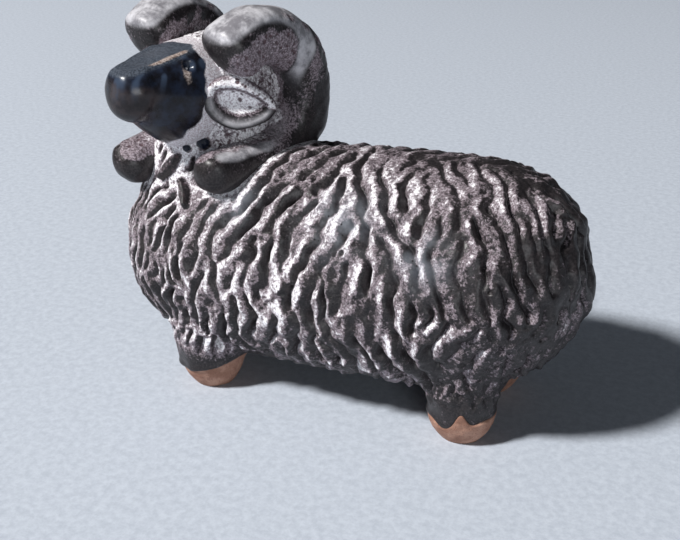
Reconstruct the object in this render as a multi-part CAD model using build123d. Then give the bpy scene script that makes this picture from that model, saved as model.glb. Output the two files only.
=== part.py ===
from build123d import *

import os
from math import atan, cos, degrees, radians, sin, sqrt

# Ram figurine in fired clay, sizes in millimetres and angles in degrees.
# The potter forms each piece alone and lutes it to its neighbours, so every piece is cut by what it is
# pressed on and they meet face to face. The ram faces -X, its left side is -Y, and it stands on Z = 0.

# Body: two pinched bowls with their rims luted together, round about one axis that rises to the rump
chest_depth = 70.0
rump_depth = 72.3
body_radius = 33.2
body_wall = 6.0
belly_clearance = 8.0
body_rise = 3.4
chest_fullness = 4.0
rump_fullness = 4.9
vent_diameter = 7.0
vent_behind_rim = 12.0

# Wool: tapered grooves carved down the flanks in staggered rows, fanned out from the rim
groove_depth = 1.4
groove_width = 3.0
groove_length = 30.0
groove_spacing = 6.6
groove_rows_apart = 24.0
groove_fan = 20.0
groove_lowest = 125.0
groove_clearance = 3.0

# Legs: stubs that flare up into the body, the front pair set wider than the rear pair
front_legs_ahead_of_rim = 36.1
front_leg_spacing = 36.2
rear_legs_behind_rim = 44.1
rear_leg_spacing = 28.4
sole_radius = 8.8
sole_edge = 0.8
ankle_radius = 10.0
ankle_height = 9.5
hip_radius = 11.5
hip_height = 20.0
leg_top_below_axis = 9.0

# Head: an egg of clay turned to the ram's left on a stout neck
head_ahead_of_rim = 40.5
head_side = -0.5
head_above_back = 13.4
head_turn = 75.7
head_lift = 10.7
head_length = 42.0
head_width = 33.0
neck_foot_radius = 24.0
neck_foot_ahead_of_rim = 45.5
neck_top_radius = 14.0

# Muzzle: a blunt cone pressed on the front of the head, with a flattened top and eye pits
muzzle_reach = 38.0
muzzle_root = 8.0
muzzle_root_radius = 15.5
muzzle_middle = 20.5
muzzle_middle_radius = 12.8
muzzle_nose = 31.5
muzzle_nose_radius = 7.4
muzzle_top_height = 11.0
muzzle_top_slope = 20.6
eye_radius = 1.5
eye_behind_nose = 17.1
eye_angle = 41.0

# Horns: rolls of clay curled back, down and forward again round the ears
horn_curl_radius = 17.8
horn_radius = 7.0
horn_root_radius = 8.0
horn_tip_radius = 6.2
horn_root_angle = 40.0
horn_arm_left = 17.0
horn_arm_right = 23.0
horn_sit = 0.6
horn_splay = 5.0
horn_dip_left = 9.4
horn_dip_right = 18.0

# Ears: folded leaves of clay in the horn loops, hollow side outwards
ear_length = 21.0
ear_width = 12.5
ear_scoop_share = 0.72
ear_scoop_out = 1.6
ear_rim_out = 1.8
ear_ahead = 7.0
ear_below = 0.2
ear_sweep = 52.0

# Tail: a short nub pressed on the rump
tail_length = 19.0
tail_width = 9.6
tail_sink = 2.4

# Heights that follow from the sizes above
body_axis_height = belly_clearance + body_radius
head_height = body_axis_height + body_radius + head_above_back

bowl_stations = 8
groove_columns = 10
groove_rows = 3
rod_overrun = 1.3
upright = (Align.CENTER, Align.CENTER, Align.MIN)
left, right = 1, -1
leg_pairs = ((front_legs_ahead_of_rim, front_leg_spacing), (-rear_legs_behind_rim, rear_leg_spacing))


def bowl(depth, radius, fullness):
    """Solid blunt bowl round the X axis, rim on the YZ plane and bottom at +X."""
    shares = [sin(radians(90 * k / bowl_stations)) for k in range(bowl_stations + 1)]
    points = [(depth * share, radius * sqrt(max(0.0, 1 - share**fullness))) for share in shares]
    side = Spline(points, tangents=[(1, 0), (0, -1)])
    bottom = Line(points[-1], (0, 0))
    rim = Line((0, 0), points[0])
    return revolve(make_face([side, bottom, rim]), Axis.X)


def egg(length, width):
    """Solid ellipsoid round the X axis."""
    outline = EllipticalCenterArc((0, 0), length / 2, width / 2, start_angle=0, arc_size=180)
    axis = Line(outline @ 1, outline @ 0)
    return revolve(make_face([outline, axis]), Axis.X)


def body_place():
    return Pos(0, 0, body_axis_height) * Rot(0, -body_rise, 0)


def head_plane():
    """Origin in the middle of the head, X out of the muzzle, Y to the ram's left and Z to its crown."""
    turn = radians(head_turn)
    lift = radians(head_lift)
    forward = (-cos(turn) * cos(lift), -sin(turn) * cos(lift), sin(lift))
    crown = (cos(turn) * sin(lift), sin(turn) * sin(lift), cos(lift))
    centre = (-head_ahead_of_rim, head_side, head_height)
    return Plane(origin=centre, x_dir=forward, z_dir=crown)


def body_without_hollow():
    """What the neighbours of the body are cut by."""
    chest = Rot(0, 0, 180) * bowl(chest_depth, body_radius, chest_fullness)
    return body_place() * (chest + bowl(rump_depth, body_radius, rump_fullness))


def clear_of_neighbours(points):
    """Whether the points keep off the neck and the legs, which need a smooth seat on the body."""
    foot = Vector(-neck_foot_ahead_of_rim, 0, body_axis_height)
    neck_line = head_plane().origin - foot
    for point in points:
        share = (point - foot).dot(neck_line) / neck_line.dot(neck_line)
        beside_neck = point - foot - neck_line * share
        neck_radius = neck_foot_radius + (neck_top_radius - neck_foot_radius) * share
        if share > 0 and beside_neck.length < neck_radius + groove_clearance:
            return False
        for ahead, spacing in leg_pairs:
            beside_leg = Vector(point.X + ahead, abs(point.Y) - spacing / 2)
            if point.Z < body_axis_height and beside_leg.length < hip_radius + groove_clearance:
                return False
    return True


def groove_cutter(surface_radius):
    """Bent rod along X, flatter than the surface below the XY plane, so that its groove tapers to both ends."""
    rod_radius = (groove_width**2 / 4 + groove_depth**2) / (2 * groove_depth)
    height = rod_radius - groove_depth
    bend = 1 / (1 / surface_radius - 8 * groove_depth / groove_length**2)
    bend_axis = Axis((0, 0, height - bend), (0, 1, 0))
    sweep = degrees(rod_overrun * groove_length / bend)
    rod = revolve(Plane.YZ * Pos(0, height) * Circle(rod_radius), bend_axis, sweep)
    return rod.rotate(bend_axis, -sweep / 2)


def wool_grooves(depth, fullness, place):
    """Grooves of one bowl on both flanks, in the bowl's own frame, without those that meet a neighbour."""
    grooves = []
    for column in range(groove_columns):
        ahead = groove_spacing * (column + 0.5)
        radius = body_radius * sqrt(1 - (ahead / depth) ** fullness)
        slope = atan(body_radius**2 / radius * fullness / 2 * ahead ** (fullness - 1) / depth**fullness)
        lean = radians(groove_fan) * ahead / depth
        for row in range(groove_rows):
            round_angle = groove_rows_apart * (row + 0.5 + column % 2 / 2) / radius
            if round_angle > radians(groove_lowest):
                continue
            for side in (left, right):
                outward = Vector(0, -side * sin(round_angle), cos(round_angle))
                normal = outward * cos(slope) + Vector(sin(slope), 0, 0)
                downhill = Vector(0, -side * cos(round_angle), -sin(round_angle))
                along_body = Vector(cos(slope), 0, 0) - outward * sin(slope)
                along = downhill * cos(lean) + along_body * sin(lean)
                middle = Vector(ahead, 0, 0) + outward * radius
                ends = [middle - along * groove_length / 3, middle, middle + along * groove_length / 3]
                if clear_of_neighbours([(place * Pos(end)).position for end in ends]):
                    spot = Plane(origin=middle, x_dir=along, z_dir=normal).location
                    grooves.append(spot * groove_cutter(radius / cos(slope)))
    return grooves


def carved(shell, grooves):
    """Cuts one groove after another, which stays sound where many at once do not."""
    for groove in grooves:
        shell = shell - groove
    return shell


def body_front_shell():
    hollow = bowl(chest_depth - body_wall, body_radius - body_wall, chest_fullness)
    shell = bowl(chest_depth, body_radius, chest_fullness) - hollow
    place = body_place() * Rot(0, 0, 180)
    return place * carved(shell, wool_grooves(chest_depth, chest_fullness, place))


def body_rear_shell():
    """Rear bowl with the vent that lets steam out of the hollow in the kiln."""
    hollow = bowl(rump_depth - body_wall, body_radius - body_wall, rump_fullness)
    shell = bowl(rump_depth, body_radius, rump_fullness) - hollow
    vent = Pos(vent_behind_rim, 0, -body_radius) * Cylinder(vent_diameter / 2, 4 * body_wall)
    grooves = wool_grooves(rump_depth, rump_fullness, body_place())
    return body_place() * carved(shell - vent, grooves)


def leg(ahead, spacing, side, body):
    """Stub leg with a flat sole, cut by the body that it is pressed on."""
    top = body_axis_height - leg_top_below_axis
    sole = Line((0, 0), (sole_radius - sole_edge, 0))
    edge = Line(sole @ 1, (sole_radius, sole_edge))
    shin = Spline([edge @ 1, (ankle_radius, ankle_height), (hip_radius, hip_height)], tangents=[(0.2, 1), (0, 1)])
    hip = Line(shin @ 1, (hip_radius, top))
    cap = Line(hip @ 1, (0, top))
    axis = Line(cap @ 1, (0, 0))
    profile = make_face([sole, edge, shin, hip, cap, axis])
    stub = revolve(Plane.XZ * profile, Axis.Z)
    return Pos(-ahead, -side * spacing / 2, 0) * stub - body


def head():
    return head_plane().location * egg(head_length, head_width)


def neck(body, skull, snout):
    """Stout cone from the axis of the body to the middle of the head, cut by both and by the muzzle."""
    foot = Vector(-neck_foot_ahead_of_rim, 0, body_axis_height)
    axis = head_plane().origin - foot
    cone = Cone(neck_foot_radius, neck_top_radius, axis.length, align=upright)
    return Plane(origin=foot, z_dir=axis).location * cone - body - skull - snout


def muzzle_without_pits():
    """Blunt cone that runs back into the head, which cuts it, with its top sliced flat towards the nose."""
    stations = [
        (muzzle_root, muzzle_root_radius),
        (muzzle_middle, muzzle_middle_radius),
        (muzzle_nose, muzzle_nose_radius),
        (muzzle_reach, 0),
    ]
    side = Spline(stations, tangents=[(1, 0), (0, -1)])
    axis = Line(stations[-1], (muzzle_root, 0))
    back = Line((muzzle_root, 0), stations[0])
    cone = revolve(make_face([side, axis, back]), Axis.X)
    slice_off = Box(2 * muzzle_reach, 4 * muzzle_root_radius, 2 * muzzle_root_radius, align=upright)
    slope = Pos(muzzle_middle, 0, muzzle_top_height) * Rot(0, muzzle_top_slope, 0)
    return head_plane().location * (cone - slope * slice_off)


def eye_pit(side):
    """Ball with its middle on the straight line between the muzzle's middle and nose stations."""
    ahead = muzzle_reach - eye_behind_nose
    share = (ahead - muzzle_middle) / (muzzle_nose - muzzle_middle)
    out = muzzle_middle_radius + (muzzle_nose_radius - muzzle_middle_radius) * share
    across = side * out * cos(radians(eye_angle))
    up = out * sin(radians(eye_angle))
    return head_plane().location * Pos(ahead, across, up) * Sphere(eye_radius)


def horn_roll(side, arm_length, dip):
    """Roll curled in a plane beside the head: root in front, over the ear, then forward below it."""
    root = radians(horn_root_angle)
    bend = radians(270 - dip)
    root_out = Vector(cos(root), 0, sin(root))
    root_plane = Plane(origin=root_out * horn_curl_radius, x_dir=root_out, z_dir=(-sin(root), 0, cos(root)))
    curl_axis = Axis((0, 0, 0), (0, -1, 0))
    curl = revolve(root_plane * Circle(horn_radius), curl_axis, 270 - dip - horn_root_angle)
    bend_point = Vector(cos(bend), 0, sin(bend)) * horn_curl_radius
    onward = Vector(-sin(bend), 0, cos(bend))
    cone = Cone(horn_radius, horn_tip_radius, arm_length, align=upright)
    arm = Plane(origin=bend_point, x_dir=(0, 1, 0), z_dir=onward).location * cone
    tip = Pos(bend_point + onward * arm_length) * Sphere(horn_tip_radius)
    root_ball = Pos(root_plane.origin) * Sphere(horn_root_radius)
    roll = curl + arm + tip + root_ball
    beside = side * (head_width / 2 + horn_sit)
    return head_plane().location * Pos(0, beside, 0) * Rot(0, 0, -side * horn_splay) * roll


def ear_leaf(side):
    """Scooped half egg, its root on the head behind the muzzle and its tip out and back."""
    scoop = Pos(0, 0, ear_scoop_out) * egg(ear_length * ear_scoop_share, ear_width * ear_scoop_share)
    outside = Pos(0, 0, ear_rim_out) * Box(2 * ear_length, 2 * ear_width, ear_width, align=upright)
    leaf = egg(ear_length, ear_width) - scoop - outside
    sweep = radians(ear_sweep)
    middle = (ear_ahead, side * head_width / 2, -ear_below)
    along = (-sin(sweep), side * cos(sweep), 0)
    facing = (cos(sweep), side * sin(sweep), 0)
    return head_plane().location * Plane(origin=middle, x_dir=along, z_dir=facing).location * leaf


def tail(body):
    nub = Rot(0, 90, 0) * egg(tail_length, tail_width)
    return body_place() * Pos(rump_depth - tail_sink, 0, 0) * nub - body


def one_solid(shape):
    """The piece itself, without loose crumbs that a cut may leave."""
    return max(shape.solids(), key=lambda solid: solid.volume)


def all_pieces():
    body = body_without_hollow()
    skull = head()
    snout = muzzle_without_pits()
    throat = neck(body, skull, snout)
    pieces = {
        "body_front_shell": body_front_shell(),
        "body_rear_shell": body_rear_shell(),
        "neck": throat,
        "head": skull,
        "muzzle": snout - skull - eye_pit(left) - eye_pit(right),
        "tail": tail(body),
    }
    sides = (("left", left, horn_arm_left, horn_dip_left), ("right", right, horn_arm_right, horn_dip_right))
    for side_name, side, arm_length, dip in sides:
        roll = horn_roll(side, arm_length, dip)
        pieces[f"horn_{side_name}"] = roll - skull - snout - throat - body
        pieces[f"ear_{side_name}"] = ear_leaf(side) - skull - snout - throat - roll
        pieces[f"leg_front_{side_name}"] = leg(front_legs_ahead_of_rim, front_leg_spacing, side, body)
        pieces[f"leg_rear_{side_name}"] = leg(-rear_legs_behind_rim, rear_leg_spacing, side, body)
    return {name: one_solid(piece) for name, piece in pieces.items()}


def floor_middle(pieces):
    """Point on the floor under the middle of the whole ram's box."""
    boxes = [piece.bounding_box() for piece in pieces]
    middle_x = (min(box.min.X for box in boxes) + max(box.max.X for box in boxes)) / 2
    middle_y = (min(box.min.Y for box in boxes) + max(box.max.Y for box in boxes)) / 2
    return Vector(middle_x, middle_y, 0)


ram = all_pieces()
to_origin = Pos(-floor_middle(ram.values()))
os.makedirs("parts", exist_ok=True)
for name, piece in ram.items():
    export_step(to_origin * piece, f"parts/{name}.step")
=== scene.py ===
import math

import bmesh
import bpy
import numpy as np
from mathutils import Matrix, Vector


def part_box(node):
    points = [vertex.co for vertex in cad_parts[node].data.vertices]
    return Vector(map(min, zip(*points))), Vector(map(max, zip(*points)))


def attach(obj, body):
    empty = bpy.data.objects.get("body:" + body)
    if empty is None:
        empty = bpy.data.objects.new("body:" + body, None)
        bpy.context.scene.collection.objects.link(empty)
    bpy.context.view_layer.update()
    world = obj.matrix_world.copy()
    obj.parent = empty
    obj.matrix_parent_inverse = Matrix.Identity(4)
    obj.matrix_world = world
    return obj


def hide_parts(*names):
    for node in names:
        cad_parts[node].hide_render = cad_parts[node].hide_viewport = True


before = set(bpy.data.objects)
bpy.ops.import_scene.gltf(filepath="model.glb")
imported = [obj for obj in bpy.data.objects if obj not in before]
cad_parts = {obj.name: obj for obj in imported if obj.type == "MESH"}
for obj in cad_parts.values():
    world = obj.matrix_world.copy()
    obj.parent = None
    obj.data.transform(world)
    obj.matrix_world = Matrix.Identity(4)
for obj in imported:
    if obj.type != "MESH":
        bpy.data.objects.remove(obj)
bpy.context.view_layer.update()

# Ram figurine in glazed terracotta. Lengths in this script are millimetres until a mesh is made.
MM = 0.001
FINE = 2

# Photograph's frame and the camera that fits it
IMAGE_WIDTH = 680
FOCAL_PIXELS = 950
CAMERA_AZIMUTH = 24.6
CAMERA_ELEVATION = 26.0
CAMERA_FROM_HEAD = (147.1, -234.1, 74.4)

# Head, turned to the ram's left, and the horn loops beside it
HEAD_TURN = 75.7
HEAD_LIFT = 10.7
HORN_CURL = 17.8
HORN_ROOT_ANGLE = 47.0
HORN_BESIDE = 17.1
HORN_SPLAY = 5.0
HORN_ARM = {"left": 17.0, "right": 23.0}
HORN_DIP = {"left": 9.4, "right": 18.0}
SIDES = {"left": 1, "right": -1}
EAR_SWEEP = 52.0

# Muzzle's flattened top: its height at a distance ahead of the head's middle, and how fast it falls
MUZZLE_TOP = 11.2
MUZZLE_TOP_AHEAD = 20.5
MUZZLE_TOP_FALL = 0.376

# Wool: grooves between broad ridges, each stroke a small patch of waves
GROOVE_HALF_WIDTH = 0.7
GROOVE_DEPTH = 0.5
RIDGE_HEIGHT = 2.35
STROKE_REACH = 10.5
STROKE_SPREAD = 3.4
STROKE_SPACING = 3.2

# Legs and the lower edge of their glaze: its height, how much it tips to the right, and its waviness
LEGS = ("leg_front_left", "leg_front_right", "leg_rear_left", "leg_rear_right")
GLAZE_EDGE = {
    "leg_front_left": (8.3, 2.4, 0.4),
    "leg_front_right": (9.0, 0.5, 0.8),
    "leg_rear_left": (8.3, 0.4, 0.4),
    "leg_rear_right": (9.2, -0.6, 0.8),
}
GLAZE_THICKNESS = 0.35
HIDDEN_UNDER_FOOT = 3.6

# Strands and glaze drops on the throat, from the middle of the head
THROAT_STRANDS = (
    ((-8.7, -17.5, -22.7), (-3.3, -16.9, -15.6)),
    ((-1.8, -18.5, -22.5), (2.6, -23.4, -28.0)),
)
THROAT_DROPS = (((4.1, -15.2, -11.2), 2.6), ((-0.2, -16.5, -12.9), 1.8))

# Spots where the glaze lies thick and bluish, with a painted bluish sheen of reflected light, from the middle
# of the body, and their sizes
THICK_AND_SHEEN_SPOTS = (((10.0, -24.5, 22.5), 8.0), ((34.0, -27.0, 17.0), 6.0), ((-24.0, -23.0, 23.0), 6.0))
THROAT = (-6.0, -14.0, -24.0)
THROAT_SIZE = 13.0
TAIL = (72.0, 0, 4.0)
TAIL_SIZE = (6.0, 5.0, 10.0)
CRATERS = 26


def unit(vectors):
    return vectors / np.maximum(np.linalg.norm(vectors, axis=-1, keepdims=True), 1e-9)


def smooth_step(low, high, value):
    share = np.clip((value - low) / (high - low), 0, 1)
    return share * share * (3 - 2 * share)


def bell(value, width):
    return np.exp(-((value / width) ** 2))


def waves(seed, scale, count=26):
    """Smooth noise of about -1 to 1: a sum of random plane waves whose length is about the scale."""
    rng = np.random.default_rng(seed)
    vectors = unit(rng.normal(size=(count, 3))) * (2 * np.pi / scale) * rng.uniform(0.6, 1.5, (count, 1))
    phases = rng.uniform(0, 2 * np.pi, count)

    def value(points):
        return np.cos(points @ vectors.T + phases).sum(axis=1) / math.sqrt(1.6 * count)

    return value


def box_middle(*nodes):
    low = np.min([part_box(node)[0] for node in nodes], axis=0)
    high = np.max([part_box(node)[1] for node in nodes], axis=0)
    return (low + high) / 2 / MM


def head_axes():
    """Forward, left and crown directions of the head."""
    turn = math.radians(HEAD_TURN)
    lift = math.radians(HEAD_LIFT)
    forward = np.array([-math.cos(turn) * math.cos(lift), -math.sin(turn) * math.cos(lift), math.sin(lift)])
    crown = np.array([math.cos(turn) * math.sin(lift), math.sin(turn) * math.sin(lift), math.cos(lift)])
    return forward, np.cross(crown, forward), crown


BODY = box_middle("body_front_shell", "body_rear_shell")
HEAD = box_middle("head")
FORWARD, LEFT, CROWN = head_axes()
# Direction halfway between the lamp and the camera in the head's frame: the horns' painted highlight and
# painted shade follow how far they face it.
HORN_HIGHLIGHT_FACING = 0.845 * FORWARD + 0.132 * LEFT + 0.519 * CROWN


def mesh_object(name, points, faces):
    mesh = bpy.data.meshes.new(name)
    mesh.from_pydata((np.asarray(points) * MM).tolist(), [], faces)
    mesh.update()
    obj = bpy.data.objects.new(name, mesh)
    bpy.context.scene.collection.objects.link(obj)
    return obj


def applied(obj):
    """Replaces the object's mesh by what its modifiers make of it."""
    graph = bpy.context.evaluated_depsgraph_get()
    mesh = bpy.data.meshes.new_from_object(obj.evaluated_get(graph), depsgraph=graph)
    obj.modifiers.clear()
    obj.data = mesh
    return obj


def subdivided(obj, levels):
    modifier = obj.modifiers.new("subdivide", "SUBSURF")
    modifier.levels = levels
    return applied(obj)


def points_of(obj):
    points = np.zeros(len(obj.data.vertices) * 3, np.float32)
    obj.data.vertices.foreach_get("co", points)
    return points.reshape(-1, 3).astype(float) / MM


def normals_of(obj):
    normals = np.zeros(len(obj.data.vertices) * 3, np.float32)
    obj.data.vertex_normals.foreach_get("vector", normals)
    return normals.reshape(-1, 3).astype(float)


def move_points(obj, points):
    obj.data.vertices.foreach_set("co", (points * MM).astype(np.float32).ravel())
    obj.data.update()


def paint(obj, name, values):
    """Stores a number per point for the material to read."""
    attribute = obj.data.attributes.new(name, "FLOAT", "POINT")
    attribute.data.foreach_set("value", np.clip(values, 0, 1).astype(np.float32))


def shade_smooth(obj):
    obj.data.polygons.foreach_set("use_smooth", np.ones(len(obj.data.polygons), bool))


def grid_faces(rings, sections):
    faces = []
    for ring in range(rings - 1):
        for k in range(sections):
            after = (k + 1) % sections
            faces.append((ring * sections + k, ring * sections + after,
                          (ring + 1) * sections + after, (ring + 1) * sections + k))
    faces.append(tuple(reversed(range(sections))))
    faces.append(tuple((rings - 1) * sections + k for k in range(sections)))
    return faces


def grid_object(name, grid):
    """Closed mesh from rings of points, with its two ends capped and its faces turned outwards."""
    obj = mesh_object(name, grid.reshape(-1, 3), grid_faces(*grid.shape[:2]))
    bm = bmesh.new()
    bm.from_mesh(obj.data)
    bmesh.ops.recalc_face_normals(bm, faces=bm.faces)
    bm.to_mesh(obj.data)
    bm.free()
    return obj


def distance_to(points, others, reach):
    """Distance from each point to the nearest of the others, worked out only within reach of them."""
    distance = np.full(len(points), reach)
    low = others.min(axis=0) - reach
    high = others.max(axis=0) + reach
    close = np.nonzero(((points > low) & (points < high)).all(axis=1))[0]
    squares = (others**2).sum(axis=1)
    for part in np.array_split(close, max(1, len(close) // 4000)):
        gaps = (points[part] ** 2).sum(axis=1)[:, None] + squares - 2 * points[part] @ others.T
        distance[part] = np.sqrt(np.maximum(gaps.min(axis=1), 0))
    return np.minimum(distance, reach)


def distance_to_line(points, start, end):
    along = end - start
    share = np.clip((points - start) @ along / (along @ along), 0, 1)
    return np.linalg.norm(points - start - share[:, None] * along, axis=1), share


def horn_frame(side):
    """Loop's middle, and its forward, outward and crown directions."""
    splay = math.radians(HORN_SPLAY)
    forward = FORWARD * math.cos(splay) - LEFT * side * math.sin(splay)
    outward = LEFT * side * math.cos(splay) + FORWARD * math.sin(splay)
    return HEAD + LEFT * side * HORN_BESIDE, forward, outward, CROWN


def horn_line(side_name, steps):
    """Middle line of the horn, the way along it, and the share of its length."""
    middle, forward, outward, crown = horn_frame(SIDES[side_name])
    bend = math.radians(270 - HORN_DIP[side_name])
    root = math.radians(HORN_ROOT_ANGLE)
    curl_length = HORN_CURL * (bend - root)
    along = np.linspace(0, curl_length + HORN_ARM[side_name], steps)
    angle = np.minimum(root + along / HORN_CURL, bend)[:, None]
    arm = np.maximum(along - curl_length, 0)[:, None]
    way = -np.sin(angle) * forward + np.cos(angle) * crown
    line = middle + HORN_CURL * (np.cos(angle) * forward + np.sin(angle) * crown) + way * arm
    return line, way, along / along[-1]


def horn_grid(side_name, slim):
    """Rings of a tapered roll with a squarish section and rounded ends, slimmed by a margin."""
    outward = horn_frame(SIDES[side_name])[2]
    line, way, share = horn_line(side_name, 84)
    radius = np.interp(share, [0, 0.1, 0.35, 0.7, 1.0], [8.0, 8.1, 7.4, 7.0, 6.2]) - slim
    turn = np.linspace(0, 2 * np.pi, 44, endpoint=False)
    square = (np.abs(np.cos(turn)) ** 2.5 + np.abs(np.sin(turn)) ** 2.5) ** (-1 / 2.5)
    caps = np.linspace(0.06, np.pi / 2, 9)[:-1]
    last = len(line) - 1
    stops = [(0, -0.6 * math.cos(a), math.sin(a)) for a in caps]
    stops += [(k, 0.0, 1.0) for k in range(len(line))]
    stops += [(last, 0.95 * math.cos(a), math.sin(a)) for a in caps[::-1]]
    rings = []
    for k, ahead, size in stops:
        out = np.cross(way[k], outward)
        section = np.cos(turn)[:, None] * out + np.sin(turn)[:, None] * outward
        rings.append(line[k] + way[k] * ahead * radius[k] + section * (square * radius[k] * size)[:, None])
    return np.array(rings)


def muzzle_top(ahead):
    return MUZZLE_TOP - MUZZLE_TOP_FALL * (ahead - MUZZLE_TOP_AHEAD)


def muzzle_grid(slim):
    """Rings of a blunt wedge with a flattened top and a deep jaw, slimmed by a margin."""
    cap = np.linspace(0.0, 1.53, 15)[1:]
    reach = np.concatenate([np.linspace(9, 30.5, 24), 30.5 + (7.6 - slim) * np.sin(cap)])
    width = np.interp(reach, [9, 15, 20.5, 26, 30.5], [15.0, 14.3, 12.8, 10.7, 8.5]) - slim
    width = width * np.concatenate([np.ones(24), np.cos(cap) ** 0.85])
    turn = np.linspace(0, 2 * np.pi, 56, endpoint=False)
    across = np.cos(turn)[None] * width[:, None] * 0.97
    up = np.sin(turn)[None] * width[:, None]
    jaw = 1 + 0.13 * smooth_step(30, 18, reach)
    up = np.where(up < 0, up * jaw[:, None], up)
    top = (muzzle_top(reach) - slim)[:, None]
    over = np.maximum(up - top + 0.8, 0)
    up = up - over + 0.8 * np.tanh(over / 0.8 * 0.5)
    cheek = np.clip(-up / np.maximum(width[:, None], 1e-6), 0, 1)
    across = across * (1 - 0.12 * cheek)
    return HEAD + reach[:, None, None] * FORWARD + across[..., None] * LEFT + up[..., None] * CROWN


def ear_grid(side):
    """Rings of a pointed leaf: from the middle of its hollow over a thick rim to the middle of its back."""
    sweep = math.radians(EAR_SWEEP)
    along = unit(-math.sin(sweep) * FORWARD + math.cos(sweep) * side * LEFT - 0.13 * CROWN)
    facing = math.cos(sweep) * FORWARD + math.sin(sweep) * side * LEFT
    upward = np.cross(facing, along) * side
    middle = HEAD + 7.0 * FORWARD + side * 16.3 * LEFT - 0.2 * CROWN + 1.3 * facing
    profile = [(0.03, -0.6), (0.2, -0.5), (0.40, -0.1), (0.55, 0.6), (0.66, 1.5), (0.76, 2.2), (0.88, 2.3),
               (0.97, 1.5), (1.0, 0.3), (0.97, -1.2), (0.85, -3.0), (0.6, -4.7), (0.3, -5.8), (0.03, -6.0)]
    turn = np.linspace(0, 2 * np.pi, 48, endpoint=False)
    length = 11.0 * np.cos(turn)
    width = 6.4 * np.sin(turn) * (1 - 0.38 * np.clip(np.cos(turn), 0, 1))
    fold = np.clip(np.sin(turn), 0, 1) ** 2
    lip = np.clip(-np.sin(turn), 0, 1) ** 0.7
    rings = []
    for spread, height in profile:
        front = 1.0 if 0.5 < spread < 0.9 and height > 0 else 0.0
        rolled = 1.0 if spread > 0.7 else 0.0
        rise = height - 1.6 * np.clip(np.cos(turn), 0, 1) ** 2 * spread
        rise = rise + 0.8 * fold * front + 0.6 * lip * rolled
        drop = -1.3 * fold * front - 1.9 * lip * rolled
        rings.append(middle + spread * length[:, None] * along
                     + (spread * width + drop)[:, None] * upward + rise[:, None] * facing)
    return np.array(rings)


def hull_points(*nodes):
    return np.concatenate([[v.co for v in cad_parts[node].data.vertices] for node in nodes]) / MM


def add_hull(bm, points):
    verts = [bm.verts.new(point) for point in points * MM]
    result = bmesh.ops.convex_hull(bm, input=verts)
    left_over = result["geom_interior"] + result["geom_unused"]
    inner = {item for item in left_over if isinstance(item, bmesh.types.BMVert)}
    bmesh.ops.delete(bm, geom=list(inner), context="VERTS")


def add_core(bm, grid):
    core = grid_object("core", grid)
    bm.from_mesh(core.data)
    bpy.data.objects.remove(core)


def clay_form():
    """All the clay run together with soft seams before carving, with horns and muzzle as slim cores."""
    bm = bmesh.new()
    add_hull(bm, hull_points("body_front_shell", "body_rear_shell"))
    for node in ("neck", "head", "tail"):
        add_hull(bm, hull_points(node))
    for node in LEGS:
        points = hull_points(node)
        points[:, 2] = np.where(points[:, 2] < 0.5, -4.0, points[:, 2])
        add_hull(bm, points)
    for side_name in SIDES:
        add_core(bm, horn_grid(side_name, 2.6))
    add_core(bm, muzzle_grid(1.6))
    mesh = bpy.data.meshes.new("fleece")
    bm.to_mesh(mesh)
    bm.free()
    obj = bpy.data.objects.new("fleece", mesh)
    bpy.context.scene.collection.objects.link(obj)
    remesh = obj.modifiers.new("remesh", "REMESH")
    remesh.mode = "VOXEL"
    remesh.voxel_size = 1.3 * MM
    soften = obj.modifiers.new("soften", "SMOOTH")
    soften.factor = 0.5
    soften.iterations = 11
    return subdivided(obj, FINE)


def wool_direction(points, normals):
    """Way that the grooves run: down the flanks, fanned out from the parting along the spine."""
    place = points - BODY
    upward = np.clip(normals[:, 2], 0, 1)
    run = np.zeros_like(points)
    run[:, 0] = upward * 0.9 * (place[:, 0] - 10.0) / 35.0 + 0.5 * waves(11, 17.0)(points)
    run[:, 1] = upward * 1.1 * np.tanh(place[:, 1] / 4.0) + 0.4 * waves(12, 17.0)(points)
    run[:, 2] = -1.0
    return unit(run - normals * (run * normals).sum(axis=1, keepdims=True))


def groove_spacing(points):
    """Close on the chest, wide on the middle of the flank, with some chance in it."""
    across = np.interp(points[:, 0] - BODY[0], [-62, -38, -5, 30, 60], [3.6, 4.2, 6.0, 5.6, 4.6])
    low = smooth_step(32.0, 18.0, points[:, 2])
    return across * (1 - 0.15 * low) * (1 + 0.2 * waves(13, 22.0)(points))


def stroke_kernels(points, normals, rng):
    """Evenly scattered strokes: places, waves across each stroke, and their phases."""
    cells = np.floor(points / STROKE_SPACING).astype(int)
    order = rng.permutation(len(points))
    _, first = np.unique(cells[order], axis=0, return_index=True)
    chosen = order[first]
    place = points[chosen]
    normal = normals[chosen]
    across = np.cross(normal, wool_direction(place, normal))
    turn = rng.normal(0, 0.24, (len(place), 1))
    across = unit(across * np.cos(turn) + np.cross(normal, across) * np.sin(turn))
    spacing = groove_spacing(place) * rng.uniform(0.88, 1.14, len(place))
    return place, across * (2 * np.pi / spacing)[:, None], rng.uniform(0, 2 * np.pi, len(place))


def align_phases(place, wave, phase, rounds):
    """Lets neighbouring strokes agree on where their grooves run, so that they join into longer ones."""
    near = [np.nonzero(((place - spot) ** 2).sum(axis=1) < 80.0)[0] for spot in place]
    for _ in range(rounds):
        for k, others in enumerate(near):
            offset = place[k] - place[others]
            weight = bell(np.linalg.norm(offset, axis=1), 1.414 * STROKE_SPREAD)
            weight[others == k] = 0
            carried = (offset * wave[others]).sum(axis=1) + phase[others]
            phase[k] = np.angle((weight * np.exp(1j * carried)).sum())
    return phase


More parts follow.
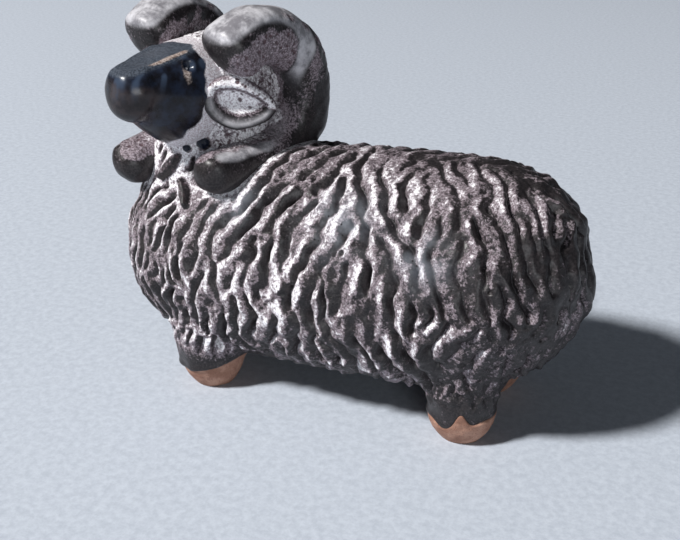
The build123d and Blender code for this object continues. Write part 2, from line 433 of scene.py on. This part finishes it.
def groove_phase(points, normals, seed):
    """Angle that is 0 along the middle of a groove and pi on the crest of a ridge, and how sure it is."""
    rng = np.random.default_rng(seed)
    place, wave, phase = stroke_kernels(points, normals, rng)
    phase = align_phases(place, wave, phase, 2)
    wander = np.stack([waves(seed + k, 8.0)(points) for k in (1, 2, 3)], 1)
    wavy = points + 0.8 * wander
    order = np.argsort(wavy[:, 0])
    ranked = wavy[order]
    total = np.zeros(len(points), complex)
    weights = np.zeros(len(points))
    for spot, vector, start in zip(place, wave, phase):
        low, high = np.searchsorted(ranked[:, 0], (spot[0] - STROKE_REACH, spot[0] + STROKE_REACH))
        offset = ranked[low:high] - spot
        square = (offset**2).sum(axis=1)
        near = np.nonzero(square < STROKE_REACH**2)[0]
        weight = np.exp(-square[near] / (2 * STROKE_SPREAD**2))
        total[low + near] += weight * np.exp(1j * (offset[near] @ vector + start))
        weights[low + near] += weight
    angle = np.zeros(len(points))
    surety = np.zeros(len(points))
    angle[order] = np.abs(np.angle(total))
    surety[order] = np.abs(total) / np.maximum(weights, 1e-6)
    return angle, surety


def leg_middles():
    return {node: box_middle(node)[:2] for node in LEGS}


def glaze_edge_height(points):
    """Height of the glaze's lower edge, which sags and climbs round each leg, with a tongue on one."""
    height = np.full(len(points), 9.0)
    wavy = waves(21, 12.0)(points * [1, 1, 0])
    azimuth = math.radians(CAMERA_AZIMUTH)
    rightward = np.array([math.cos(azimuth), math.sin(azimuth)])
    for node, middle in leg_middles().items():
        offset = points[:, :2] - middle
        around = np.linalg.norm(offset, axis=1) < 20.0
        level, tip, waviness = GLAZE_EDGE[node]
        edge = level + tip * (offset @ rightward) / 10.0 + waviness * wavy
        if node == "leg_rear_left":
            side_share = unit(offset) @ rightward
            edge = edge + 4.0 * bell(side_share + 0.2, 0.2) - 2.2 * bell(side_share + 0.72, 0.3)
        height = np.where(around, edge, height)
    return height


def crater_spots(points, normals, count):
    """Places on the flanks where a bubble burst in the glaze."""
    rng = np.random.default_rng(91)
    flank = np.nonzero((np.abs(normals[:, 1]) > 0.55) & (points[:, 2] > 16) & (points[:, 2] < 62))[0]
    return points[rng.choice(flank, count, replace=False)], rng.uniform(0.5, 1.0, count)


def wool_relief(base, normals, wool):
    """Height of the carved wool over the clay, how much paler its crests are, and how much its grooves are
    darkened as painted shade.
    """
    angle, surety = groove_phase(base, normals, 5)
    from_groove = angle / np.pi * groove_spacing(base) / 2
    patchy = np.clip(0.85 + 0.5 * waves(31, 19.0)(base), 0.45, 1.25)
    broken = np.clip(0.85 + 0.6 * waves(32, 8.0)(base), 0.15, 1.4)
    strength = wool * smooth_step(0.1, 0.45, surety) * patchy
    dome = 1 - (1 - angle / np.pi) ** 2
    groove = bell(from_groove, GROOVE_HALF_WIDTH)
    strands = waves(33, 3.4)(base * [1, 1, 0.3])
    relief = strength * (RIDGE_HEIGHT * (dome - 0.7) * broken - GROOVE_DEPTH * groove + 0.2 * strands)
    # Crests a little paler; grooves darkened as painted shade in the recesses.
    return relief, strength * (0.3 * smooth_step(0.75, 1.0, dome) - 0.25 * bell(from_groove, 0.9))


def spray_and_light_facing(normals, points):
    """How far each point faces the front, the top and its own side: where the glaze went on pale, and where
    painted light falls on slopes that face the lamp.
    """
    spray_and_light = np.stack([np.full(len(points), -0.8), 0.3 * np.sign(points[:, 1]), np.full(len(points), 0.52)], 1)
    return (normals * spray_and_light).sum(axis=1)


def head_share(base):
    return smooth_step(25.0, 20.0, np.linalg.norm(base - HEAD, axis=1))


def shin_share(base):
    return smooth_step(17.0, 11.5, base[:, 2])


def tail_share(base):
    return bell(np.linalg.norm((base - BODY - TAIL) / TAIL_SIZE, axis=1), 1.0)


def throat_share(base):
    return bell(np.linalg.norm(base - HEAD - THROAT, axis=1), THROAT_SIZE)


def thick_and_sheen_share(base):
    return sum(bell(np.linalg.norm(base - BODY - spot, axis=1), size) for spot, size in THICK_AND_SHEEN_SPOTS)


def wool_share(base, normals, gap):
    """How fully each point is carved: not on the head, shins and throat strands, half on the spine."""
    wool = (1 - head_share(base)) * (1 - shin_share(base)) * (1 - 0.8 * tail_share(base))
    wool *= smooth_step(0.6, 4.0, gap)
    wool *= 1 - 0.5 * smooth_step(0.84, 0.97, normals[:, 2])
    wool *= np.interp(base[:, 0] - BODY[0], [-60, -35, 0, 40, 62], [0.75, 0.82, 1.0, 0.95, 0.85])
    for start, end in THROAT_STRANDS:
        wool *= smooth_step(1.5, 5.0, distance_to_line(base, HEAD + start, HEAD + end)[0])
    return wool


def clay_lumps(base, wool):
    """Unevenness of hand-worked clay: on the wool, low on the flanks, on the rump, the shins and the head."""
    place = base - BODY
    low_flank = smooth_step(33.0, 18.0, base[:, 2]) * wool
    full_rump = smooth_step(25, 60, place[:, 0]) * np.clip(place[:, 2] / 22, -1, 1)
    lumps = wool * (0.5 * waves(41, 16.0)(base) + 0.32 * waves(42, 5.5)(base) + 0.07 * waves(44, 2.2)(base))
    lumps += low_flank * (0.35 * waves(43, 5.0)(base) + 0.15 * waves(45, 2.4)(base))
    lumps += 1.2 * full_rump * (1 - tail_share(base))
    lumps += 0.35 * shin_share(base) * waves(46, 9.0)(base)
    pits = smooth_step(0.6, 1.2, waves(48, 2.6)(base))
    return lumps + head_share(base) * (0.12 * waves(47, 1.8)(base) - 0.25 * pits)


def throat_strands(base):
    """Thick strands on the throat: their height, and how dark they are."""
    height = np.zeros(len(base))
    dark = np.zeros(len(base))
    for start, end in THROAT_STRANDS:
        far, share = distance_to_line(base, HEAD + start, HEAD + end)
        lift = smooth_step(1.9, 0.5, far / (0.75 + 0.5 * np.sin(np.pi * share)))
        height += 2.0 * lift
        dark = np.maximum(dark, 0.6 * lift)
    return height, dark


def throat_drops(base):
    """How far each point belongs to a drop of black gloss on the throat."""
    gloss = np.zeros(len(base))
    for spot, radius in THROAT_DROPS:
        far = np.linalg.norm(base - HEAD - spot, axis=1)
        gloss = np.maximum(gloss, smooth_step(radius, 0.35 * radius, far))
    return gloss


def craters(base, normals):
    """Bubbles that burst in the glaze: their relief, and how dark they are."""
    relief = np.zeros(len(base))
    dark = np.zeros(len(base))
    for spot, radius in zip(*crater_spots(base, normals, CRATERS)):
        far = np.linalg.norm(base - spot, axis=1)
        relief += -0.75 * bell(far, 0.75 * radius) + 0.2 * bell(far - 1.4 * radius, 0.4 * radius)
        dark = np.maximum(dark, 1.5 * bell(far, 0.7 * radius))
    return relief, dark


def glaze_relief(above):
    """Thickness of the glaze over its lower edge, with a lip there; below it the fleece hides in the foot."""
    glazed = smooth_step(-0.45, 0.4, above)
    return GLAZE_THICKNESS * glazed - HIDDEN_UNDER_FOOT * (1 - glazed) + 0.25 * bell(above - 0.9, 0.8)


def pale_share(base, normals, carved, above):
    """How pale the glaze is: along the body, darker towards the rump; paler on slopes facing the front and
    top, partly painted light; on the head and throat; where bluish glaze lies thick, with a painted sheen;
    painted light on the back's top and painted shade underneath.
    """
    ahead = base[:, 0] - BODY[0]
    lengthwise = np.interp(ahead, [-65, -40, 0, 25, 45, 66], [0.46, 0.56, 0.39, 0.32, 0.12, -0.20])
    spray_and_light = np.interp(ahead, [-60, -30, 10, 35, 62], [0.8, 0.9, 1.1, 1.05, 0.8])
    # Slopes that the carving turned to face the front and top are painted paler: partly glaze that went on
    # pale, partly painted light on slopes facing the lamp.
    sprayed_and_lit = (spray_and_light_facing(carved, base) - spray_and_light_facing(normals, base)) * smooth_step(13.0, 21.0, base[:, 2])
    # Upward-facing top of the back is painted paler: painted light from above.
    lit_back_top = smooth_step(0.35, 0.8, normals[:, 2]) * smooth_step(-20, 10, ahead)
    whiter = spray_and_light * sprayed_and_lit + 0.3 * head_share(base) + 0.35 * throat_share(base)
    whiter += 0.25 * thick_and_sheen_share(base) + 0.15 * lit_back_top
    # Downward-facing undersides are painted darker: painted shade.
    shaded_underside = smooth_step(-0.1, -0.7, normals[:, 2])
    darker = 0.35 * shaded_underside + 0.4 * shin_share(base) + 0.5 * bell(above - 0.5, 0.7)
    return lengthwise + 0.16 * waves(53, 20.0)(base) + whiter - darker


def carve_fleece(obj, others):
    """Carves and glazes the clay form, and gives back its points as they were before."""
    base = points_of(obj)
    normals = normals_of(obj)
    gap = distance_to(base, others, 9.0)
    above = base[:, 2] - glaze_edge_height(base)
    wool = wool_share(base, normals, gap)
    relief, crest_pale_groove_shade = wool_relief(base, normals, wool)
    strand_height, strand_dark = throat_strands(base)
    crater_relief, crater_dark = craters(base, normals)
    gloss = throat_drops(base)
    relief += clay_lumps(base, wool) + strand_height + crater_relief + 1.3 * gloss + glaze_relief(above)
    points = base + normals * relief[:, None]
    points[:, 2] = np.maximum(points[:, 2], 0.7)
    move_points(obj, points)
    crevice = smooth_step(3.6, 0.4, gap + waves(54, 5.0)(base))
    pale = pale_share(base, normals, normals_of(obj), above) + crest_pale_groove_shade + 0.7 * crevice
    paint(obj, "pale", pale - np.maximum(strand_dark, crater_dark) - gloss)
    round_face = np.maximum(0.9 * head_share(base), 0.8 * crevice) * (1 - gloss)
    paint(obj, "pitted", round_face + 0.5 * throat_share(base))
    blotches = smooth_step(0.2, 0.9, waves(51, 30.0)(base))
    paint(obj, "pink", (0.6 * smooth_step(33.0, 18.0, base[:, 2]) + 0.4 * blotches) * wool)
    # Thick bluish glaze with a painted sheen of reflected light on it.
    paint(obj, "thick", thick_and_sheen_share(base))
    paint(obj, "gloss", gloss)
    shade_smooth(obj)
    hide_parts("body_front_shell", "body_rear_shell", "neck", "head", "tail")
    return base


def face_corners(obj):
    corners = np.zeros(len(obj.data.loops), np.int32)
    obj.data.loops.foreach_get("vertex_index", corners)
    return corners.reshape(-1, 4)


def foot(node, middle, base, faces):
    """Bare clay end of a leg, cut from the uncarved form a little above the glaze's edge."""
    inside = (base[:, 2] < 15.5) & (np.linalg.norm(base[:, :2] - middle, axis=1) < 15.0)
    keep = inside[faces].all(axis=1)
    used = np.unique(faces[keep])
    index = np.full(len(base), -1)
    index[used] = np.arange(len(used))
    points = base[used].copy()
    dents = 0.22 * waves(61, 14.0)(points) + 0.05 * waves(62, 2.0)(points)
    worn = -2.6 * np.clip(1 - points[:, 2] / 7.0, 0, 1) ** 1.8
    under_glaze = -3.2 * smooth_step(0.1, 2.4, points[:, 2] - glaze_edge_height(points))
    offset = unit(points[:, :2] - middle)
    points[:, :2] += offset * (dents + worn + under_glaze)[:, None]
    points[:, 2] = np.maximum(points[:, 2], 0.0)
    obj = mesh_object(node.replace("leg", "foot"), points, index[faces[keep]].tolist())
    shade_smooth(obj)
    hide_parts(node)
    return obj


def facing(normals, way, direction):
    """How far each normal faces a direction, seen across the way that the horn runs."""
    return (normals * unit(direction - way * (way @ direction)[:, None])).sum(axis=1)


def horn_lie(side_name, points, normals):
    """Where each point of a horn lies and what it faces, by name."""
    middle, forward, outward, crown = horn_frame(SIDES[side_name])
    offset = points - middle
    ahead = offset @ forward
    height = offset @ crown
    inward = -unit(offset - outward * (offset @ outward)[:, None])
    inner = (normals * inward).sum(axis=1)
    on_arm = smooth_step(-6.0, -12.0, height) * smooth_step(-8.0, 0.0, ahead)
    curl_way = SIDES[side_name] * np.cross(outward, inward)
    arm_way = horn_line(side_name, 9)[1][-1]
    way = unit(curl_way * (1 - on_arm)[:, None] + arm_way * on_arm[:, None])
    outside = bell(inner + 0.72, 0.22) * smooth_step(-4.0, 10.0, height)
    return {
        "inner": inner,
        "outer": normals @ outward,
        "upper": facing(normals, way, crown),
        "toward_highlight": facing(normals, way, HORN_HIGHLIGHT_FACING),
        "on_arm": on_arm,
        "behind": smooth_step(4.0, -12.0, ahead) * smooth_step(16.0, 2.0, height),
        "outer_band": outside * smooth_step(4.0, -6.0, ahead),
    }


def horn_pits(lie, points, patchy):
    """Share of pitted glaze: below the band that faces the highlight direction, inside the curl's back, on
    the arm and in an outer band.
    """
    above = smooth_step(-0.35, 0.0, lie["inner"] + patchy) * smooth_step(0.85, 0.55, lie["toward_highlight"])
    behind = smooth_step(0.1, -0.2, lie["outer"] + patchy) * smooth_step(0.0, 0.3, lie["inner"])
    on_arm = smooth_step(0.5, 0.8, 0.85 * lie["upper"] - 0.5 * lie["outer"] + patchy)
    pits = above * (1 - np.maximum(lie["behind"], lie["on_arm"]))
    pits += behind * lie["behind"] + on_arm * lie["on_arm"]
    return np.maximum(pits, lie["outer_band"] * smooth_step(-0.5, 0.3, waves(76, 5.0)(points)))


def horn_highlight(lie, patchy):
    """Share of painted highlight: a pale band where the curl faces between lamp and camera, and one along the
    top of the arm.
    """
    band = smooth_step(0.5, 0.85, lie["toward_highlight"] - 0.36 * lie["behind"])
    band *= (1 - lie["on_arm"]) * (1 - 0.4 * lie["behind"])
    arm = smooth_step(0.8, 0.99, 0.55 * lie["outer"] + 0.835 * lie["upper"] + 0.3 * patchy)
    return np.maximum(band, 0.85 * arm * lie["on_arm"])


def horn(side_name):
    obj = subdivided(grid_object("horn_" + side_name, horn_grid(side_name, 0.0)), FINE)
    points = points_of(obj)
    normals = normals_of(obj)
    lie = horn_lie(side_name, points, normals)
    patchy = 0.18 * waves(73, 7.0)(points)
    pitted = horn_pits(lie, points, patchy)
    lumps = 0.4 * waves(71, 13.0)(points + 40 * SIDES[side_name]) + 0.10 * waves(74, 4.0)(points)
    lumps += pitted * (0.14 * waves(75, 1.7)(points) - 0.1)
    move_points(obj, points + normals * lumps[:, None])
    paint(obj, "pitted", pitted)
    # Painted highlight: pale grey where the horn faces between lamp and camera, less where it is pitted.
    paint(obj, "painted_highlight", horn_highlight(lie, patchy) * (1 - 0.85 * pitted))
    # Painted shade on the sides turned away from the lamp, except where pitted.
    paint(obj, "painted_shade", smooth_step(0.5, -0.1, lie["toward_highlight"]) * (1 - pitted))
    paint(obj, "upper_side", smooth_step(-0.1, 0.6, normals[:, 2]) * smooth_step(0.35, 0.8, lie["inner"]))
    shade_smooth(obj)
    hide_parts("horn_" + side_name)
    return obj


def muzzle_eyes(ahead, across, up):
    """Eye pits on both sides: their relief, the pits themselves and the pale smears beside them."""
    relief = np.zeros(len(ahead))
    pits = np.zeros(len(ahead))
    smears = np.zeros(len(ahead))
    for side in SIDES.values():
        far = np.linalg.norm(np.stack([ahead, across, up], 1) - [20.6, side * 9.3, 7.9], axis=1)
        relief += -1.7 * bell(far, 1.1) + 0.25 * bell(far - 1.9, 0.7)
        pits = np.maximum(pits, bell(far, 1.0))
        smear = np.stack([(ahead - 21.6) / 1.5, (up - 6.2) / 4.2, (across - side * 9.6) / 4.0], 1)
        smears = np.maximum(smears, bell(np.linalg.norm(smear, axis=1), 1.0))
    return relief, pits, smears


def muzzle():
    obj = subdivided(grid_object("muzzle", muzzle_grid(0.0)), FINE)
    points = points_of(obj)
    normals = normals_of(obj)
    offset = points - HEAD
    ahead = offset @ FORWARD
    across = offset @ LEFT
    up = offset @ CROWN
    over_top = up - muzzle_top(ahead)
    half_top = np.interp(ahead, [15, 20.5, 26, 30.5, 36], [7.0, 6.2, 5.4, 4.4, 2.4])
    from_ridge = np.hypot(np.abs(across) - half_top, over_top + 0.5)
    ridge = bell(from_ridge, 0.9) * smooth_step(17, 20, ahead) * smooth_step(37, 34, ahead)
    eye_relief, eye_pits, eye_smears = muzzle_eyes(ahead, across, up)
    lumps = 0.22 * waves(81, 9.0)(points) + 0.4 * ridge + eye_relief
    move_points(obj, points + normals * lumps[:, None])
    wobble = 1.3 * waves(82, 6.0)(points)
    base_line = np.interp(up, [-15, -6, 4, 13], [19.0, 17.0, 16.5, 15.6])
    paint(obj, "white", smooth_step(1.2, -1.2, ahead - base_line + 0.45 * wobble))
    on_nose = smooth_step(27.0, 31.0, ahead + wobble)
    paint(obj, "brown", on_nose * smooth_step(3.5, 0.5, up + wobble) * smooth_step(-8.5, -5.0, up))
    bare_ridge = ridge * smooth_step(-0.3, 0.5, across) * smooth_step(33, 27, ahead)
    paint(obj, "tan", np.maximum(bare_ridge, 0.75 * eye_smears) - eye_pits)
    runs = smooth_step(0.1, 0.8, waves(83, 4.2)(np.stack([ahead, across, 0.2 * up], 1)))
    paint(obj, "drip", runs * smooth_step(-9.0, -2.0, over_top) * smooth_step(-0.4, -1.6, over_top))
    # The flat top is painted lighter blue-grey: mostly painted light on the facet that faces the lamp.
    paint(obj, "top", smooth_step(-1.6, -0.5, over_top))
    shade_smooth(obj)
    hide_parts("muzzle")
    return obj


def ear(side_name):
    grid = ear_grid(SIDES[side_name])
    obj = grid_object("ear_" + side_name, grid)
    rings, sections = grid.shape[:2]
    ring = np.repeat(np.arange(rings), sections)
    upper_half = np.tile(np.sin(np.linspace(0, 2 * np.pi, sections, endpoint=False)) > -0.1, rings)
    # A painted shadow line under the upper fold, along the white hollow's upper edge.
    fold_shadow_line = bell(ring - 3.8, 0.6) * upper_half
    paint(obj, "white", smooth_step(4.2, 2.6, ring - 3.2 * upper_half) - 0.9 * fold_shadow_line)
    # Painted highlight along the edge of the lower lip.
    paint(obj, "painted_highlight", 0.7 * bell(ring - 5.2, 0.9) * (1 - upper_half))
    # Painted shade on the lower lip's outer side.
    paint(obj, "painted_shade", smooth_step(5.6, 7.0, ring) * (1 - upper_half))
    paint(obj, "pitted", 0.5 * bell(ring - 10.0, 2.0) + 0.6 * bell(ring - 7.0, 1.2) * upper_half)
    obj = subdivided(obj, FINE)
    points = points_of(obj)
    move_points(obj, points + normals_of(obj) * (0.14 * waves(85, 5.0)(points))[:, None])
    shade_smooth(obj)
    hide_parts("ear_" + side_name)
    return obj


class Nodes:
    """Small helper that adds shader nodes to one material."""

    def __init__(self, name):
        self.material = bpy.data.materials.new(name)
        self.material.use_nodes = True
        self.tree = self.material.node_tree
        self.shader = self.tree.nodes["Principled BSDF"]

    def add(self, kind, **settings):
        node = self.tree.nodes.new(kind)
        for key, value in settings.items():
            setattr(node, key, value)
        return node

    def feed(self, socket, value):
        if isinstance(value, bpy.types.NodeSocket):
            self.tree.links.new(value, socket)
        else:
            socket.default_value = value

    def shade(self, name, value):
        self.feed(self.shader.inputs[name], value)

    def place(self):
        return self.add("ShaderNodeTexCoord").outputs["Object"]

    def painted(self, name):
        return self.add("ShaderNodeAttribute", attribute_name=name).outputs["Fac"]

    def noise(self, size, detail=3.0, rough=0.55):
        node = self.add("ShaderNodeTexNoise")
        node.inputs["Scale"].default_value = 1 / (size * MM)
        node.inputs["Detail"].default_value = detail
        node.inputs["Roughness"].default_value = rough
        self.feed(node.inputs["Vector"], self.place())
        return node.outputs["Fac"]

    def cells(self, size):
        node = self.add("ShaderNodeTexVoronoi")
        node.inputs["Scale"].default_value = 1 / (size * MM)
        self.feed(node.inputs["Vector"], self.place())
        return node.outputs["Distance"]

    def math(self, operation, first, second):
        node = self.add("ShaderNodeMath", operation=operation)
        self.feed(node.inputs[0], first)
        self.feed(node.inputs[1], second)
        return node.outputs[0]

    def plus(self, first, *weighted):
        """First value plus each further value times its weight."""
        total = first
        for value, weight in weighted:
            total = self.math("ADD", total, self.math("MULTIPLY", value, weight))
        return total

    def range(self, value, low, high, to_low=0.0, to_high=1.0):
        node = self.add("ShaderNodeMapRange", clamp=True, interpolation_type="SMOOTHSTEP")
        self.feed(node.inputs["Value"], value)
        for key, number in (("From Min", low), ("From Max", high), ("To Min", to_low), ("To Max", to_high)):
            node.inputs[key].default_value = number
        return node.outputs["Result"]

    def mix(self, factor, first, second):
        node = self.add("ShaderNodeMix", data_type="RGBA")
        self.feed(node.inputs["Factor"], factor)
        self.feed(node.inputs[6], first)
        self.feed(node.inputs[7], second)
        return node.outputs[2]

    def bump(self, height, depth):
        node = self.add("ShaderNodeBump")
        node.inputs["Distance"].default_value = depth * MM
        self.feed(node.inputs["Height"], height)
        self.shade("Normal", node.outputs["Normal"])


def colour(red, green, blue):
    return (red, green, blue, 1.0)


def centred(n, value, weight):
    """Noise of 0 to 1 as a swing about 0."""
    return (n.math("SUBTRACT", value, 0.5), weight)


def glaze_tint(n, pale, pink, grain):
    """Iron glaze that is near black where it is thin, mauve in between and white where it pools."""
    dark = n.mix(n.range(grain, 0.35, 0.7), colour(0.011, 0.0095, 0.0105), colour(0.034, 0.029, 0.031))
    mauve = n.mix(n.range(grain, 0.38, 0.64), colour(0.100, 0.078, 0.088), colour(0.31, 0.262, 0.295))
    white = n.mix(n.range(grain, 0.34, 0.56), colour(0.46, 0.41, 0.45), colour(0.86, 0.86, 0.89))
    tint = n.mix(n.range(n.plus(pale, (pink, 0.15)), 0.22, 0.52), dark, mauve)
    return n.mix(n.range(pale, 0.62, 1.05), tint, white)


def crawled(n, tint, where):
    """Tint with pinkish pits that the white glaze crawled away from, where painted, and the pits."""
    spread = n.plus(n.cells(1.9), centred(n, n.noise(1.0, 3.0), 0.7))
    pits = n.math("MULTIPLY", n.range(spread, 0.16, 0.40, 1.0, 0.0), where)
    return n.mix(pits, tint, colour(0.095, 0.060, 0.070)), pits


def fleece_glaze():
    n = Nodes("fleece_glaze")
    grain = n.noise(0.5, 2.0, 0.6)
    speckle = n.noise(0.9, 4.0, 0.7)
    cloud = n.noise(8.0, 3.0)
    pink = n.painted("pink")
    pale = n.plus(n.painted("pale"), centred(n, speckle, 1.9), centred(n, cloud, 0.7), (pink, 0.12))
    tint = glaze_tint(n, pale, pink, grain)
    # Bluish-white patches: glaze pooled thick, with a painted sheen of reflected light.
    thick = n.math("MULTIPLY", n.painted("thick"), n.range(cloud, 0.36, 0.62))
    tint = n.mix(n.math("MULTIPLY", thick, 0.4), tint, colour(0.42, 0.46, 0.52))
    pinholes = n.range(n.cells(2.6), 0.05, 0.12)
    tint = n.mix(pinholes, colour(0.008, 0.006, 0.006), tint)
    tint, crawl = crawled(n, tint, n.painted("pitted"))
    gloss = n.painted("gloss")
    tint = n.mix(n.range(gloss, 0.2, 0.6), tint, colour(0.010, 0.014, 0.026))
    n.shade("Base Color", tint)
    rough = n.range(pale, 0.2, 0.8, 0.40, 0.62)
    n.shade("Roughness", n.math("SUBTRACT", rough, n.math("MULTIPLY", gloss, 0.22)))
    pits = n.math("MULTIPLY", speckle, n.range(n.plus(pale, (pink, 0.5)), 0.15, 0.8, 0.12, 1.0))
    n.bump(n.plus(pits, (pinholes, 0.5), (crawl, -0.9)), 0.28)
    n.shade("Specular IOR Level", 0.35)
    return n.material


def horn_glaze():
    n = Nodes("horn_glaze")
    grain = n.noise(0.55, 2.0, 0.6)
    speckle = n.noise(1.1, 4.0, 0.7)
    cloud = n.noise(6.0, 3.0)
    pitted = n.painted("pitted")
    pale = n.plus(n.painted("white"), (n.painted("crevice"), 0.5), (n.painted("upper_side"), 0.3))
    pale = n.plus(pale, (pitted, 0.36), centred(n, speckle, 0.9), centred(n, cloud, 0.5))
    # Painted shade darkens the sides turned away from the lamp.
    pale = n.math("ADD", n.plus(pale, (n.painted("painted_shade"), -0.3)), 0.18)
    # Pale grey laid where the highlight is painted.
    painted_highlight = n.painted("painted_highlight")
    mottle = n.plus(cloud, centred(n, speckle, 0.4))
    highlight_grey = n.mix(n.range(mottle, 0.34, 0.66), colour(0.20, 0.195, 0.215), colour(0.58, 0.575, 0.61))
    tint = n.mix(n.range(painted_highlight, 0.1, 1.0, 0.0, 0.9), glaze_tint(n, pale, pitted, grain), highlight_grey)
    tint, crawl = crawled(n, tint, n.range(n.plus(pitted, (n.painted("white"), 0.8)), 0.2, 0.9))
    n.shade("Base Color", tint)
    n.shade("Specular IOR Level", 0.3)
    n.shade("Roughness", n.range(n.plus(pale, (pitted, 0.5)), 0.3, 1.0, 0.36, 0.60))
    fine = n.math("MULTIPLY", speckle, n.range(n.plus(pale, (pitted, 0.8)), 0.2, 0.9, 0.08, 1.0))
    n.bump(n.plus(fine, (crawl, -0.9)), 0.30)
    return n.material


def muzzle_glaze():
    n = Nodes("muzzle_glaze")
    grain = n.noise(0.5, 2.0, 0.6)
    speckle = n.noise(1.0, 4.0, 0.7)
    cloud = n.noise(5.0, 4.0, 0.6)
    blue = n.mix(n.range(cloud, 0.4, 0.65), colour(0.007, 0.007, 0.010), colour(0.016, 0.022, 0.040))
    # Lighter blue-grey for the top facet: mostly painted light.
    top = n.mix(n.range(grain, 0.4, 0.62), colour(0.030, 0.037, 0.050), colour(0.088, 0.103, 0.130))
    tint = n.mix(n.painted("top"), blue, top)
    tint = n.mix(n.math("MULTIPLY", n.painted("drip"), 0.75), tint, colour(0.050, 0.072, 0.115))
    brown = n.math("MULTIPLY", n.painted("brown"), n.range(cloud, 0.4, 0.6, 0.2, 0.7))
    tint = n.mix(brown, tint, colour(0.040, 0.027, 0.022))
    tan = n.mix(n.range(grain, 0.4, 0.6), colour(0.18, 0.13, 0.11), colour(0.42, 0.36, 0.33))
    tint = n.mix(n.range(n.plus(n.painted("tan"), centred(n, speckle, 0.5)), 0.35, 0.75), tint, tan)
    white = n.mix(n.range(grain, 0.36, 0.60), colour(0.42, 0.36, 0.39), colour(0.70, 0.69, 0.73))
    edge = n.range(n.plus(n.painted("white"), centred(n, speckle, 0.6)), 0.25, 0.75)
    n.shade("Base Color", n.mix(edge, tint, white))
    n.shade("Specular IOR Level", 0.3)
    matt = n.plus(edge, (n.painted("top"), 0.35), (n.painted("tan"), 0.4))
    n.shade("Roughness", n.range(matt, 0.0, 1.0, 0.24, 0.55))
    n.bump(n.math("MULTIPLY", speckle, n.range(edge, 0.0, 1.0, 0.12, 1.0)), 0.25)
    return n.material


def bare_clay():
    n = Nodes("bare_clay")
    grain = n.noise(0.45, 4.0, 0.7)
    cloud = n.noise(4.0, 3.0)
    tint = n.mix(n.range(cloud, 0.35, 0.7), colour(0.25, 0.125, 0.085), colour(0.39, 0.225, 0.165))
    tint = n.mix(n.range(grain, 0.52, 0.70), tint, colour(0.17, 0.080, 0.055))
    tint = n.mix(n.range(n.noise(2.4, 4.0), 0.70, 0.76), tint, colour(0.06, 0.045, 0.04))
    n.shade("Base Color", tint)
    n.shade("Roughness", 0.85)
    n.bump(grain, 0.15)
    return n.material


def floor_paint():
    n = Nodes("floor_paint")
    grain = n.noise(2.4, 6.0, 0.75)
    tint = n.mix(n.range(grain, 0.3, 0.7), colour(0.415, 0.460, 0.530), colour(0.525, 0.575, 0.650))
    n.shade("Base Color", tint)
    n.shade("Roughness", 0.9)
    n.bump(grain, 0.06)
    return n.material


def give(obj, material):
    obj.data.materials.clear()
    obj.data.materials.append(material)
    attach(obj, "root")


def make_floor():
    size = 2500.0
    corners = [(-size, -size, 0), (size, -size, 0), (size, size, 0), (-size, size, 0)]
    floor = mesh_object("floor", corners, [(0, 1, 2, 3)])
    floor.data.materials.append(floor_paint())


def area_light(name, place, aim, size, power, tint):
    data = bpy.data.lights.new(name, "AREA")
    data.shape = "DISK"
    data.size = size * MM
    data.energy = power
    data.color = tint
    lamp = bpy.data.objects.new(name, data)
    lamp.location = Vector(place) * MM
    lamp.rotation_euler = (Vector(aim) - Vector(place)).to_track_quat("-Z", "Y").to_euler()
    bpy.context.scene.collection.objects.link(lamp)


def make_lights():
    area_light("key", (-2410, -2735, 3820), (0, 0, 45), 700, 425.0, (1.0, 0.98, 0.96))
    area_light("fill", (2300, -2930, 480), (0, 0, 60), 1700, 46.0, (0.94, 0.97, 1.0))
    world = bpy.data.worlds.new("studio")
    world.use_nodes = True
    world.node_tree.nodes["Background"].inputs["Color"].default_value = (0.84, 0.90, 1.0, 1.0)
    world.node_tree.nodes["Background"].inputs["Strength"].default_value = 0.055
    bpy.context.scene.world = world


def make_camera():
    data = bpy.data.cameras.new("camera")
    data.sensor_width = 36.0
    data.lens = 36.0 * FOCAL_PIXELS / IMAGE_WIDTH
    camera = bpy.data.objects.new("camera", data)
    a = math.radians(CAMERA_AZIMUTH)
    e = math.radians(CAMERA_ELEVATION)
    back = Vector((math.sin(a) * math.cos(e), -math.cos(a) * math.cos(e), math.sin(e)))
    camera.location = Vector(HEAD + CAMERA_FROM_HEAD) * MM
    camera.rotation_euler = (-back).to_track_quat("-Z", "Y").to_euler()
    bpy.context.scene.collection.objects.link(camera)
    bpy.context.scene.camera = camera


def paint_crevice(obj, grid, reach):
    """Marks where a piece comes close to its neighbour's surface."""
    gap = distance_to(points_of(obj), grid.reshape(-1, 3), 5.0)
    paint(obj, "crevice", smooth_step(reach, 0.2, gap))


def make_ram():
    horns = {name: horn(name) for name in SIDES}
    ears = {name: ear(name) for name in SIDES}
    snout = muzzle()
    fleece = clay_form()
    horn_grids = {name: horn_grid(name, 0.0) for name in SIDES}
    ear_grids = {name: ear_grid(side) for name, side in SIDES.items()}
    grids = [*horn_grids.values(), *ear_grids.values(), muzzle_grid(0.0)]
    fittings = np.concatenate([grid[::2, ::2].reshape(-1, 3) for grid in grids])
    base = carve_fleece(fleece, fittings)
    faces = face_corners(fleece)
    feet = [foot(node, middle, base, faces) for node, middle in leg_middles().items()]
    for name in SIDES:
        paint_crevice(horns[name], ear_grids[name], 2.6)
        paint_crevice(ears[name], horn_grids[name], 2.0)
    glaze = horn_glaze()
    clay = bare_clay()
    give(fleece, fleece_glaze())
    give(snout, muzzle_glaze())
    for piece in [*horns.values(), *ears.values()]:
        give(piece, glaze)
    for piece in feet:
        give(piece, clay)


make_ram()
make_floor()
make_lights()
make_camera()
bpy.context.scene.view_settings.view_transform = "Standard"
